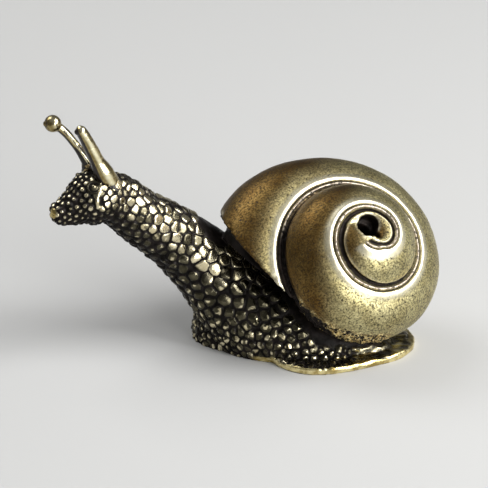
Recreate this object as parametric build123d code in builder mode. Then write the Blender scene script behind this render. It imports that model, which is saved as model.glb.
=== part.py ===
# Cast snail ornament: a scaled body with a flat sole, a hollow shell soldered over its back,
# and two wire eye stalks soldered into the head.
# Millimetres, +Z up. The origin is on the sole, and the head points to -X.

import math
import os

from build123d import *

os.makedirs("parts", exist_ok=True)

# Foot: a thin flange that rests on its flat sole
foot_length = 31.6
foot_width = 18.4
foot_front_x = -17.0
foot_thickness = 1.0
foot_edge_round = 0.4

# Body: one soft spine from the tail over the torso and up the neck to the nape
spine_length = 41.9
tail_x = 13.4
body_side = 3.9
nape_height = 24.0
torso_half_width = 7.6
torso_height = 9.2

# Front lobe of the foot, under the neck
lobe_x = -11.0
lobe_y = 4.0
lobe_length = 12.2
lobe_width = 11.6
lobe_height = 9.0

# Mantle: the smooth collar that fills the mouth of the shell
mantle_azimuth = 202.3
mantle_elevation = -49.5
mantle_inset = 0.3
mantle_sweep = 100
mantle_overrun = 32
mantle_gap = 0.5

# Head: turned further towards -Y, tapering to a blunt snout
head_length = 8.7
head_radius = 3.75
head_turn = 30
snout_drop = 0.7

# Shell: a coiled tube. The seam between its turns starts at the lip and climbs to the apex
apex_behind_seat = 8.9
apex_y = -6.0
apex_z = 20.6
seat_share = 0.32
shell_azimuth = 31.2
shell_elevation = 42.2
seam_radius = 11.4
seam_growth_power = 1.22
spire_height = 9.85
tube_radius = 6.5
shell_turns = 2.29
lip_angle = 206.1
fall_power = 2.23
first_turn_share = 0.13
inner_flat_share = 0.92
core_radius = 0.7
core_overlap = 0.35
shell_wall = 1.3
cavity_turns = 0.55
lip_azimuth = 192.3
lip_elevation = -44.4
lip_flare = 1.0
flare_start = -135
flare_sweep = 70
flare_shift_share = 0.7
lip_overrun = 3
room_overrun = 32

# Round hole in the apex, for a stick
stick_hole_radius = 1.4
stick_hole_depth = 9.0
stick_hole_offset = 1.45
stick_hole_side = 123.7

# Eye stalks: a tapered wire each, with a tenon in a drilled socket. Their feet are placed from the nape
left_stalk_forward = 0.1
left_stalk_side = -1.7
right_stalk_forward = 2.4
right_stalk_side = 0.8
stalk_foot_rise = 3.5
stalk_height = 8.0
left_stalk_radius = 1.05
right_stalk_radius = 0.6
eye_ball_radius = 1.2
tenon_radius = 0.5
tenon_length = 1.6

# Fits and solder
tenon_clearance = 0.05
seam_solder = 0.35
seam_solder_spread = 1.2
stalk_solder_width = 0.8
stalk_solder_height = 0.6
stalk_solder_depth = 2.2
overrun = 5.0


# Body sections

def along(start, end, share):
    """The place a share of the way from one value to another."""
    return start + (end - start) * share


# Share of the length, side offset, nape height, half width and height at each spine section
spine_shares = [
    (0.000, 0.26, 0.000, 0.30, 0.15),
    (0.093, 0.41, 0.000, 0.78, 0.38),
    (0.212, 0.46, 0.000, 1.00, 0.70),
    (0.320, 0.44, 0.010, 1.04, 0.92),
    (0.427, 0.60, 0.060, 1.03, 1.00),
    (0.535, 0.76, 0.190, 0.94, 0.81),
    (0.635, 0.90, 0.380, 0.80, 0.62),
    (0.735, 0.82, 0.572, 0.64, 0.53),
    (0.814, 0.53, 0.705, 0.57, 0.47),
    (0.905, 0.10, 0.845, 0.51, 0.42),
    (1.000, -0.44, 1.000, 0.47, 0.39),
]

# Share of the head length, radius and drop at each head section
head_shares = [
    (0.35, 1.00, -0.5),
    (0.55, 0.76, 0.3),
    (0.73, 0.58, 0.9),
    (0.87, 0.46, 0.9),
    (0.97, 0.30, 0.5),
    (1.02, 0.12, 0.4),
]


def spine_point(shares):
    """The middle of a spine section."""
    return Vector(
        tail_x - spine_length * shares[0],
        body_side * shares[1],
        nape_height * shares[2],
    )


nape = spine_point(spine_shares[-1])


def spine_solid(growth):
    """Torso, neck and head in one, each section larger by the growth."""
    points = []
    sizes = []
    for shares in spine_shares:
        points.append(spine_point(shares))
        sizes.append((torso_half_width * shares[3] + growth, torso_height * shares[4] + growth))
    turn = math.radians(head_turn)
    for length_share, radius_share, drop_share in head_shares:
        run = head_length * length_share
        points.append(nape - Vector(run * math.cos(turn), run * math.sin(turn), snout_drop * drop_share))
        sizes.append((head_radius * radius_share + growth, head_radius * radius_share + growth))
    with BuildPart() as spine:
        for index, (half_width, half_height) in enumerate(sizes):
            ahead = points[min(index + 1, len(points) - 1)]
            behind = points[max(index - 1, 0)]
            forward = ahead - behind
            across = Vector(0, 0, 1).cross(forward)
            with BuildSketch(Plane(origin=points[index], x_dir=across, z_dir=forward)):
                Ellipse(half_width, half_height)
        loft()
    return spine.part


# Share of the height and of the plan size at each lobe section
lobe_shares = [(-0.3, 0.98), (0.15, 1.0), (0.50, 0.90), (0.80, 0.66), (1.0, 0.30)]


def lobe_solid(growth):
    """The rounded lobe that carries the neck on the ground."""
    with BuildPart() as lobe:
        for height_share, plan_share in lobe_shares:
            with BuildSketch(Plane((lobe_x, lobe_y, lobe_height * height_share))):
                Ellipse(lobe_length / 2 * plan_share + growth, lobe_width / 2 * plan_share + growth)
        loft()
    return lobe.part


# Foot outline: share of the length from the front, and share of the width from the middle
foot_shares = [
    (0.000, 0.20),
    (0.075, -0.005),
    (0.185, -0.085),
    (0.270, -0.135),
    (0.345, -0.265),
    (0.450, -0.445),
    (0.560, -0.490),
    (0.680, -0.445),
    (0.815, -0.345),
    (0.925, -0.225),
    (1.000, 0.050),
    (0.940, 0.270),
    (0.810, 0.420),
    (0.640, 0.510),
    (0.470, 0.530),
    (0.320, 0.530),
    (0.180, 0.530),
    (0.060, 0.440),
]

with BuildPart() as foot:
    with BuildSketch():
        with BuildLine():
            Spline(
                *[
                    (foot_front_x + foot_length * length_share, foot_width * width_share)
                    for length_share, width_share in foot_shares
                ],
                periodic=True,
            )
        make_face()
    extrude(amount=foot_thickness)
    fillet(foot.faces().sort_by(Axis.Z)[-1].edges(), radius=foot_edge_round)

spine = spine_solid(0)
lobe = lobe_solid(0)

# Shell

apex_x = tail_x - spine_length * seat_share + apex_behind_seat
azimuth = math.radians(shell_azimuth)
elevation = math.radians(shell_elevation)
shell_axis = Vector(
    math.cos(elevation) * math.sin(azimuth),
    -math.cos(elevation) * math.cos(azimuth),
    math.sin(elevation),
)
shell_side = Vector(0, 0, 1).cross(shell_axis).normalized()
shell_frame = Plane(origin=(apex_x, apex_y, apex_z), x_dir=shell_side, z_dir=shell_axis)
whole_sweep = 360 * shell_turns
first_angle = -whole_sweep * (1 - first_turn_share)


def whorl_plane(angle):
    """The half plane through the shell axis at an angle from the lip: X out, Y up the axis."""
    return Plane(shell_frame.location * Rot(0, 0, lip_angle + angle) * Rot(90, 0, 0))


def seam_reach(share):
    """Distance of the seam from the axis at a share of the turns."""
    return seam_radius * share ** seam_growth_power


def seam_depth(share):
    """Depth of the seam below the apex at a share of the turns."""
    return spire_height * share ** fall_power


def meeting_radius(share):
    """Radius of the tube that meets the seam of the next turn."""
    next_share = share + 1 / shell_turns
    gap = seam_reach(next_share) - seam_reach(share)
    drop = seam_depth(next_share) - seam_depth(share)
    return (gap ** 2 + drop ** 2) / (2 * drop)


last_turn_share = 1 - 1 / shell_turns
tube_power = math.log(meeting_radius(last_turn_share) / tube_radius) / math.log(last_turn_share)


def whorl_tube(angle):
    """Distance of the tube centre from the axis, its depth below the apex, and its radius."""
    turn_share = 1 + angle / whole_sweep
    if turn_share < last_turn_share:
        radius = meeting_radius(turn_share)
    else:
        radius = tube_radius * turn_share ** tube_power
    flare_share = min(max((angle - flare_start) / flare_sweep, 0), 1)
    flare = lip_flare * flare_share ** 2 * (3 - 2 * flare_share)
    shift = flare * flare_shift_share
    drop = math.sqrt((radius + flare) ** 2 - shift ** 2)
    return seam_reach(turn_share) + shift, seam_depth(turn_share) + drop, radius + flare


def whorl_loft(stations):
    """One stretch of the tube, flat on its inner side: angle, reach, depth and radius of each section."""
    with BuildPart() as stretch:
        for angle, reach, depth, radius in stations:
            flat = max(core_radius, reach - inner_flat_share * radius)
            half_flat = math.sqrt(radius ** 2 - (reach - flat) ** 2)
            middle = math.atan2(half_flat, flat - reach) / 2
            bend_x = reach + radius * math.cos(middle)
            bend_y = radius * math.sin(middle)
            with BuildSketch(whorl_plane(angle)):
                with BuildLine():
                    ThreePointArc(
                        (flat, half_flat - depth), (bend_x, bend_y - depth), (reach + radius, -depth)
                    )
                    ThreePointArc(
                        (reach + radius, -depth), (bend_x, -bend_y - depth), (flat, -half_flat - depth)
                    )
                    Line((flat, -half_flat - depth), (flat, half_flat - depth))
                make_face()
        loft()
    return stretch.part


def whorl_run(start_angle, end_angle, growth, stretch_sweep=92, steps=4):
    """The tube between two angles, as lofts of a quarter turn or so."""
    count = math.ceil((end_angle - start_angle) / stretch_sweep)
    run = []
    for stretch in range(count):
        stations = []
        for step in range(steps + 1):
            angle = along(start_angle, end_angle, (stretch + step / steps) / count)
            reach, depth, radius = whorl_tube(angle)
            stations.append((angle, reach, depth, radius + growth))
        run.append(whorl_loft(stations))
    return run


# Turn back from the first section, and share of its radius, at each section of the rounded end
nose_shares = [(0, 1.0), (35, 0.965), (70, 0.85), (100, 0.62), (120, 0.33)]


def whorl_nose(growth):
    """The rounded end of the tube at the apex."""
    reach, depth, radius = whorl_tube(first_angle)
    return whorl_loft([
        (first_angle - back, reach, depth, (radius + growth) * radius_share)
        for back, radius_share in nose_shares
    ])


# The lip and the mantle each end on a slanted plane through the end of the seam
lip_point = whorl_plane(0).from_local_coords((seam_radius, -spire_height, 0))


def plane_at_lip(heading, tilt):
    """A plane through the end of the seam that faces a compass heading and a tilt, in degrees."""
    turn = math.radians(heading)
    rise = math.radians(tilt)
    normal = (math.cos(rise) * math.cos(turn), math.cos(rise) * math.sin(turn), math.sin(rise))
    return Plane(origin=lip_point, z_dir=normal)


lip_plane = plane_at_lip(lip_azimuth, lip_elevation)
mantle_plane = plane_at_lip(mantle_azimuth, mantle_elevation).offset(-mantle_inset)
trim_angle = -180
first_depth = whorl_tube(first_angle)[1]


def shell_solid(growth):
    """The filled shell, its tube larger by the growth."""
    inner_whorls = whorl_run(first_angle, trim_angle, growth)
    last_whorl = whorl_run(trim_angle, lip_overrun, growth)
    with BuildPart() as mouth_whorl:
        add(last_whorl)
        split(bisect_by=lip_plane.offset(growth), keep=Keep.BOTTOM)
    nose = whorl_nose(growth)
    with BuildPart() as filled:
        add(inner_whorls)
        add(nose)
        with BuildSketch(shell_frame.offset(-first_depth)):
            Circle(core_radius + core_overlap)
        extrude(amount=-spire_height)
        add(mouth_whorl.part)
    return filled.part


def cavity_solid(start_angle, growth):
    """The room inside the last whorl, open at the mouth."""
    with BuildPart() as room:
        add(whorl_run(start_angle, room_overrun, growth - shell_wall))
    return room.part


shell_body = shell_solid(0)
cavity = cavity_solid(-360 * cavity_turns, 0)
stick_turn = math.radians(stick_hole_side)
stick_hole_x = stick_hole_offset * math.cos(stick_turn)
stick_hole_y = stick_hole_offset * math.sin(stick_turn)

with BuildPart() as shell_casting:
    add(shell_body)
    add(cavity, mode=Mode.SUBTRACT)
    with BuildSketch(shell_frame.offset(-stick_hole_depth)):
        with Locations((stick_hole_x, stick_hole_y)):
            Circle(stick_hole_radius)
    extrude(amount=stick_hole_depth + overrun, mode=Mode.SUBTRACT)

# Eye stalks

# Share of the height, sideways run, forward run and radius at each stalk section
left_stalk_shares = [
    (-0.16, -0.06, -0.03, 1.15),
    (0.06, 0.02, 0.02, 1.05),
    (0.40, 0.16, 0.09, 0.95),
    (0.75, 0.30, 0.15, 0.84),
    (0.96, 0.40, 0.19, 0.74),
]
right_stalk_shares = [
    (-0.16, -0.02, 0.00, 1.15),
    (0.16, 0.05, 0.02, 1.05),
    (0.48, 0.22, 0.04, 1.00),
    (0.76, 0.42, 0.06, 1.00),
    (0.92, 0.62, 0.07, 1.00),
]
left_stalk_base = nape + Vector(-left_stalk_forward, left_stalk_side, stalk_foot_rise)
right_stalk_base = nape + Vector(-right_stalk_forward, right_stalk_side, stalk_foot_rise)


def stalk_points(base, shares):
    """Centres of a stalk's sections."""
    return [
        base + Vector(-run_share, -side_share, height_share) * stalk_height
        for height_share, run_share, side_share, radius_share in shares
    ]


def stalk_wire(base, shares, wire_radius):
    """A stalk's tapered wire with a rounded tip, running a little way into the head."""
    points = stalk_points(base, shares)
    with BuildPart() as wire:
        for index, share_row in enumerate(shares):
            ahead = points[min(index + 1, len(points) - 1)]
            behind = points[max(index - 1, 0)]
            with BuildSketch(Plane(origin=points[index], z_dir=ahead - behind)):
                Circle(wire_radius * share_row[3])
        loft()
        with Locations(points[-1]):
            Sphere(wire_radius * shares[-1][3])
    return wire.part


def stalk_pin(base, shares, radius, reach):
    """A straight pin down the foot of a stalk."""
    points = stalk_points(base, shares)
    down = (points[0] - points[1]).normalized()
    with BuildPart() as pin:
        with BuildSketch(Plane(origin=points[1], z_dir=down)):
            Circle(radius)
        extrude(amount=reach)
    return pin.part


tenon_reach = stalk_height * (left_stalk_shares[1][0] - left_stalk_shares[0][0]) + tenon_length
left_wire = stalk_wire(left_stalk_base, left_stalk_shares, left_stalk_radius)
right_wire = stalk_wire(right_stalk_base, right_stalk_shares, right_stalk_radius)
left_tenon = stalk_pin(left_stalk_base, left_stalk_shares, tenon_radius, tenon_reach)
right_tenon = stalk_pin(right_stalk_base, right_stalk_shares, tenon_radius, tenon_reach)


def stalk_solid(wire, tenon):
    """The part of a wire outside the head, with its tenon."""
    with BuildPart() as outside:
        add(wire)
        add(spine, mode=Mode.SUBTRACT)
    with BuildPart() as stalk:
        add(outside.part.solids().sort_by(Axis.Z)[-1])
        add(tenon)
    return stalk.part


with BuildPart() as left_eye_stalk:
    add(stalk_solid(left_wire, left_tenon))

with BuildPart() as right_eye_stalk:
    add(stalk_solid(right_wire, right_tenon))
    with Locations(stalk_points(right_stalk_base, right_stalk_shares)[-1]):
        Sphere(eye_ball_radius)

# Body: everything below the shell, with a mantle that fills the mouth of the shell

mantle_run = whorl_run(-mantle_sweep, mantle_overrun, -shell_wall - mantle_gap)
left_socket = stalk_pin(
    left_stalk_base, left_stalk_shares, tenon_radius + tenon_clearance, tenon_reach + tenon_clearance
)
right_socket = stalk_pin(
    right_stalk_base, right_stalk_shares, tenon_radius + tenon_clearance, tenon_reach + tenon_clearance
)

with BuildPart() as mantle:
    add(mantle_run)
    split(bisect_by=mantle_plane, keep=Keep.BOTTOM)

with BuildPart() as body_casting:
    add([spine, lobe])
    add(foot.part)
    split(bisect_by=Plane.XY, keep=Keep.TOP)
    add(shell_body, mode=Mode.SUBTRACT)
    add(mantle.part)
    add([left_socket, right_socket], mode=Mode.SUBTRACT)

# Solder: a crust on the shell along its seam with the body, and a collar at the foot of each stalk

shell_bead_reach = shell_solid(seam_solder)
body_bead_reach = spine_solid(seam_solder_spread)

with BuildPart() as bead_room:
    add(body_bead_reach)
    add(shell_bead_reach, mode=Mode.INTERSECT)
    split(bisect_by=Plane.XY.offset(foot_thickness), keep=Keep.TOP)

with BuildPart() as bead:
    add(bead_room.part)
    add(shell_body, mode=Mode.SUBTRACT)
    add(spine, mode=Mode.SUBTRACT)
    add(mantle.part, mode=Mode.SUBTRACT)

with BuildPart() as shell_solder:
    add(bead.part.solids().sort_by(SortBy.VOLUME)[-1])


def stalk_collar(base, shares, wire_radius, stalk):
    """A cone of solder round the foot of a stalk, seated on the head."""
    points = stalk_points(base, shares)
    up = (points[1] - points[0]).normalized()
    with BuildPart() as cone:
        with BuildSketch(Plane(origin=points[1] - up * stalk_solder_depth, z_dir=up)):
            Circle(wire_radius + stalk_solder_width)
        with BuildSketch(Plane(origin=points[1] + up * stalk_solder_height, z_dir=up)):
            Circle(wire_radius)
        loft()
        add([spine, stalk], mode=Mode.SUBTRACT)
    with BuildPart() as collar:
        add(cone.part.solids().sort_by(SortBy.VOLUME)[-1])
    return collar.part


with BuildPart() as left_stalk_solder:
    add(stalk_collar(left_stalk_base, left_stalk_shares, left_stalk_radius, left_eye_stalk.part))

with BuildPart() as right_stalk_solder:
    add(stalk_collar(right_stalk_base, right_stalk_shares, right_stalk_radius, right_eye_stalk.part))

# Export

body_casting.part.label = "body_casting"
export_step(body_casting.part, "parts/body_casting.step")
shell_casting.part.label = "shell_casting"
export_step(shell_casting.part, "parts/shell_casting.step")
shell_solder.part.label = "shell_solder"
export_step(shell_solder.part, "parts/shell_solder.step")
left_eye_stalk.part.label = "left_eye_stalk"
export_step(left_eye_stalk.part, "parts/left_eye_stalk.step")
right_eye_stalk.part.label = "right_eye_stalk"
export_step(right_eye_stalk.part, "parts/right_eye_stalk.step")
left_stalk_solder.part.label = "left_stalk_solder"
export_step(left_stalk_solder.part, "parts/left_stalk_solder.step")
right_stalk_solder.part.label = "right_stalk_solder"
export_step(right_stalk_solder.part, "parts/right_stalk_solder.step")
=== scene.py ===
import itertools
import math
from types import SimpleNamespace

import bmesh
import bpy
import numpy as np
from mathutils import Matrix, Vector, noise
from mathutils.bvhtree import BVHTree
from mathutils.kdtree import KDTree


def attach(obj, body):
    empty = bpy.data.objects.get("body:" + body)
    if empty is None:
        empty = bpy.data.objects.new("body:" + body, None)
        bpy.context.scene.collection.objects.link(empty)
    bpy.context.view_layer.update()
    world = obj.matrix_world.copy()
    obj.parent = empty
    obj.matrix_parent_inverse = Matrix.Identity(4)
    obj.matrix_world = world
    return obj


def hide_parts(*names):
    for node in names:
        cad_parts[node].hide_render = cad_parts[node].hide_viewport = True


# Cast brass snail with a scaled body, a coiled shell and wire eye stalks.
# Shapes are worked out in millimetres and turned into metres when a piece is made.
# X runs from the head to the tail, Y away from the viewer and Z up.
# A pair of numbers whose name ends in _ends says where a soft step begins and where it is complete.

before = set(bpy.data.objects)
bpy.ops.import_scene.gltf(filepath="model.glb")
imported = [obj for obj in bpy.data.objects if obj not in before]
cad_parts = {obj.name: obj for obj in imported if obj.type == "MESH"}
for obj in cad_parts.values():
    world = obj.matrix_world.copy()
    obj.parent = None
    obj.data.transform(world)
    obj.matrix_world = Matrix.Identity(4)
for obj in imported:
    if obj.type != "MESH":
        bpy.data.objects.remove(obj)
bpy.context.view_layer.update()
scene = bpy.context.scene
millimetre = 0.001

# Camera, at the photograph's angle, in millimetres and degrees
camera_target = Vector((-9.7, 0, 16.0))
camera_elevation = 25
camera_distance = 400
view_half_width = 34.16

# Floor and light, with the lamps aimed at a place in metres
floor_shade = 0.47
room_light = 0.24
lamp_target = (0, 0, 0.012)

# How finely each piece is meshed
body_voxel = 0.19
shell_voxel = 0.245
stalk_voxel = 0.11
solder_voxel = 0.1
rough_voxel = 0.4

# Spine of the body, from the tail to the snout
spine_points = [
    (13.4, 1.0, 0.0),
    (9.5, 1.6, 0.0),
    (4.5, 1.8, 0.0),
    (0.0, 1.7, 0.2),
    (-4.5, 2.3, 1.4),
    (-9.0, 3.0, 4.6),
    (-13.2, 3.5, 9.1),
    (-17.4, 3.2, 13.7),
    (-20.7, 2.1, 16.9),
    (-24.5, 0.4, 20.3),
    (-28.5, -1.7, 24.0),
    (-31.1, -3.2, 24.35),
    (-34.0, -4.9, 23.3),
    (-36.2, -6.2, 23.7),
]
spine_half_widths = [2.3, 5.9, 7.6, 7.9, 7.8, 7.1, 6.1, 4.9, 4.3, 3.9, 3.6, 3.75, 2.2, 1.0]
spine_half_heights = [1.4, 3.5, 6.4, 8.5, 9.2, 7.5, 5.7, 4.9, 4.3, 3.9, 3.6, 3.75, 2.2, 1.0]
head_start = 10
snout_tip = Vector((-36.2, -6.25, 23.9))

# Face
nose_place = (-36.1, -6.7, 23.7)
nose_shape = (1.2, 1.2, 0.85)
nose_ends = (1.0, 0.7)
head_x_ends = (-29.0, -30.5)
eye_place = (-30.2, -5.47, 27.14)
cheek_line = [(-29.4, -4.9, 28.4), (-29.37, -5.65, 26.78), (-29.77, -6.38, 25.61), (-29.65, -6.55, 24.48)]

# Eye stalks
left_stalk_foot = (-28.6, -3.4, 27.5)
left_stalk_tip = (-31.8, -4.94, 35.18)
right_stalk_foot = (-30.9, -0.9, 27.5)
right_stalk_tip = (-35.9, -1.5, 34.9)
tip_bumps = {"left_stalk": (-32.5, -5.2, 35.1), "right_stalk": (-37.0, -1.9, 35.0)}
tip_bump_height = 0.16
tip_ring_radius = 0.55
tip_ring_depth = 0.05
ball_length = 1.3
ball_neck = 0.4
stalk_flare_ends = (3.4, 1.0)
stalk_shade_ends = (4.5, 0.8)
# Direction faced by the painted shade on the stalks
stalk_shade_direction = (-0.90, -0.08, -0.42)
# Direction faced by the painted shade on the left collar
collar_shade_direction = (-0.75, 0.2, -0.55)
collar_low_ends = (-0.1, -0.6)

# Scales: how far apart they are, how high, and the direction that their rubbed side faces, which is also the
# side given a painted highlight
head_scale = 0.95
nape_scale = 1.32
neck_scale = 1.62
flank_scale = 2.0
foot_scale = 1.15
scale_height = 0.42
row_step = 0.87
closest_share = 0.72
scale_scatter = 0.11
scale_lean = 0.15
worn_direction = (0.50, -0.72, 0.48)
worn_facing_ends = (0.55, 0.92)
worn_x_ends = (-31.0, -28.5)
worn_z_ends = (8.5, 12.0)
fine_scale_z_ends = (7.5, 4.5)

# Smooth mantle beside the shell, wrinkled tail and rubbed rim of the foot
shell_reach = 4.5
mantle_reach = 3.1
mantle_narrowing = 1.4
mantle_narrow_x_ends = (0.0, 5.0)
mantle_lip_ends = (-1.5, -0.5)
mantle_lip_x_ends = (0.5, -1.5)
tail_x_ends = (5.5, 7.5)
tail_back_x_ends = (3.0, 5.0)
tail_back_y_ends = (0.0, 1.0)
rim_x_ends = (-10.0, -7.5)
rim_gold_x_ends = (-9.6, -7.6)
rim_rubbed_x_ends = (-8.5, -4.0)
rim_height = 0.9
rim_swelling = 0.35
rim_swelling_x = 5.0
rim_swelling_width = 2.5

# Other relief of the body
foot_grain_height = 0.17
fine_grain_height = 0.12
rim_thickness = 0.05
rim_lump_height = 0.16
mantle_sink = 0.1
wrinkle_height = 0.09
eye_height = 0.3
eye_ring_radius = 0.66
eye_ring_width = 0.13
eye_ring_depth = 0.16
socket_radius = 0.95
socket_edge_height = 0.1
cheek_ridge_width = 0.2
cheek_ridge_height = 0.2

# Shell, in its own frame: Z up the spire from below the apex
apex = Vector((8.9, -6.0, 20.6))
shell_azimuth = 31.2
shell_elevation = 42.2
seam_radius = 11.4
seam_growth_power = 1.22
spire_height = 9.85
shell_turns = 2.29
lip_angle = 206.1
fall_power = 2.23
lip_azimuth = 192.3
lip_elevation = -44.4

# Hole in the apex: the round bore, the drop-shaped opening and the notch at its pointed end
hole_radius = 1.4
hole_offset = 1.45
hole_side = 123.7
opening_place = (-0.15, 1.85)
notch_place = (-2.16, 0.06)
opening_depth = 3.2
opening_sides = 32
notch_steps = 8

# Lip: its chipped edge and its worn corner
lip_edge_ends = (-1.2, -0.1)
lip_corner = (-13.0, 2.8, 19.3)
corner_ends = (0.9, 0.4)

# Seam between the turns of the shell, whose radius shrinks less near the apex
innermost_share = 0.117
blunt_share = 0.2
blunt_growth = 5.2

# Toward its outer end the seam tilts, its inner edge fades, and a black band and a band of painted brown
# shade begin
tilt_share_ends = (0.8, 0.9)
seam_end_tilt = 0.35
inner_edge_share_ends = (0.72, 0.86)
black_share_ends = (0.90, 0.97)
shaded_brown_share_ends = (0.76, 0.86)
apex_share_ends = (0.36, 0.2)

# Groove along the seam: places across it from the inner side to the outer, widths and heights
inner_edge_place = -0.42
inner_edge_width = 0.13
inner_edge_height = 0.08
channel_place = -0.02
channel_width = 0.25
channel_depth = 0.5
bead_place = 0.52
bead_width = 0.2
bead_height = 0.17
cut_place = 0.86
cut_width = 0.11
cut_depth = 0.34
shoulder_place = 1.36
shoulder_width = 0.55
shoulder_height = 0.23

# On the shell's left side the channel is wider, and lies and ends further in
channel_widening = 0.12
channel_shift = 0.2
inner_edge_shift = 0.34

# Solder crust on the low front edge of the shell
crust_left_ends = (-3.5, -1.5)
crust_right_ends = (11.5, 9.5)
crust_front_ends = (-3.5, -5.0)
crust_top_ends = (12.5, 11.0)
crust_lip_top_ends = (9.5, 8.0)

# Other relief of the shell
lip_chip_depth = 0.25
dent_depth = 0.07
ripple_height = 0.02
crust_thickness = 0.03
crust_lump_height = 0.5
front_direction = (0, -0.906, 0.423)


# Helpers

def smoothstep(low, high, values):
    """0 below low, 1 above high and a soft step between."""
    share = np.clip((values - low) / (high - low), 0, 1)
    return share * share * (3 - 2 * share)


def bump_at(values, centre, width):
    """A soft hill of height 1 round a value."""
    return np.exp(-((values - centre) / width) ** 2)


def add_object(name, data):
    """Puts a new object into the scene."""
    made = bpy.data.objects.new(name, data)
    scene.collection.objects.link(made)
    return made


def mesh_from(name, made):
    """Turns editable geometry into a mesh."""
    mesh = bpy.data.meshes.new(name)
    made.to_mesh(mesh)
    made.free()
    return mesh


def rows_of(parts, name, width=3, kind=float):
    """A property of a mesh's points or edges, as rows of numbers."""
    flat = np.zeros(len(parts) * width, dtype=kind)
    parts.foreach_get(name, flat)
    return flat.reshape(-1, width)


def points_of(mesh):
    """A mesh's points."""
    return rows_of(mesh.vertices, "co")


def normals_of(mesh):
    """A mesh's outward directions."""
    return rows_of(mesh.vertices, "normal")


def move_points(mesh, points):
    """Puts a mesh's points in new places."""
    mesh.vertices.foreach_set("co", points.ravel())
    mesh.update()


def edges_of(mesh):
    """A mesh's edges as pairs of point numbers."""
    return rows_of(mesh.edges, "vertices", 2, np.int64)


def neighbour_means(edges, values):
    """The mean of a value over each point's neighbours."""
    count = len(values)
    degree = np.bincount(edges.ravel(), minlength=count)
    total = np.bincount(edges[:, 0], values[edges[:, 1]], count)
    total += np.bincount(edges[:, 1], values[edges[:, 0]], count)
    return total / np.maximum(degree, 1)


def blurred(mesh, values):
    """Values on a mesh's points, averaged with their neighbours."""
    return (values + neighbour_means(edges_of(mesh), values)) / 2


def relax(mesh, rounds):
    """Takes the small steps out of a mesh and keeps its size."""
    edges = edges_of(mesh)
    points = points_of(mesh)
    for pull in [0.5, -0.52] * rounds:
        means = [neighbour_means(edges, points[:, axis]) for axis in range(3)]
        points += (np.stack(means, axis=1) - points) * pull
    move_points(mesh, points)


def grain(points, size, seed=0):
    """Smooth noise between -1 and 1, with lumps of a given size."""
    shift = Vector((seed * 17.3, seed * 5.1, seed * 9.7))
    return np.array([noise.noise(Vector(point) / size + shift) for point in points])


def even_mesh(node, voxel, cutter=None):
    """The surface of a CAD node as an even mesh in millimetres, with a cutter's shape taken out of it."""
    mesh = bmesh.new()
    mesh.from_mesh(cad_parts[node].data)
    bmesh.ops.scale(mesh, vec=Vector((1, 1, 1)) / millimetre, verts=mesh.verts)
    bmesh.ops.remove_doubles(mesh, verts=mesh.verts, dist=0.0001)
    rough = mesh_from("rough", mesh)
    holder = add_object("holder", rough)
    if cutter is not None:
        cut = holder.modifiers.new("cut", "BOOLEAN")
        cut.operation = "DIFFERENCE"
        cut.solver = "EXACT"
        cut.object = cutter
    modifier = holder.modifiers.new("even", "REMESH")
    modifier.mode = "VOXEL"
    modifier.voxel_size = voxel
    graph = bpy.context.evaluated_depsgraph_get()
    fine = bpy.data.meshes.new_from_object(holder.evaluated_get(graph))
    bpy.data.objects.remove(holder)
    bpy.data.meshes.remove(rough)
    return fine


def tree_of(mesh):
    """A search tree over a mesh's faces."""
    made = bmesh.new()
    made.from_mesh(mesh)
    tree = BVHTree.FromBMesh(made)
    made.free()
    return tree


def point_tree(points):
    """A search tree over points."""
    tree = KDTree(len(points))
    for index, point in enumerate(points):
        tree.insert(point, index)
    tree.balance()
    return tree


def distance_to(tree, points, reach):
    """How far each point is from a surface, up to a reach."""
    out = np.full(len(points), float(reach))
    for index, point in enumerate(points):
        found = tree.find_nearest(Vector(point), reach)
        if found[0] is not None:
            out[index] = found[3]
    return out


def keep_value(mesh, name, values):
    """Stores a value on each of a mesh's points for its material."""
    attribute = mesh.attributes.new(name, "FLOAT", "POINT")
    attribute.data.foreach_set("value", np.clip(values, 0, 1).astype(np.float32))


def add_piece(name, mesh, material, slot, *nodes):
    """Makes a piece of a mesh in millimetres, which stands for CAD nodes."""
    mesh.transform(Matrix.Scale(millimetre, 4))
    mesh.name = name
    mesh.materials.clear()
    mesh.materials.append(material)
    mesh.shade_smooth()
    piece = add_object(name, mesh)
    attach(piece, "root")
    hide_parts(*nodes)


# Materials

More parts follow.
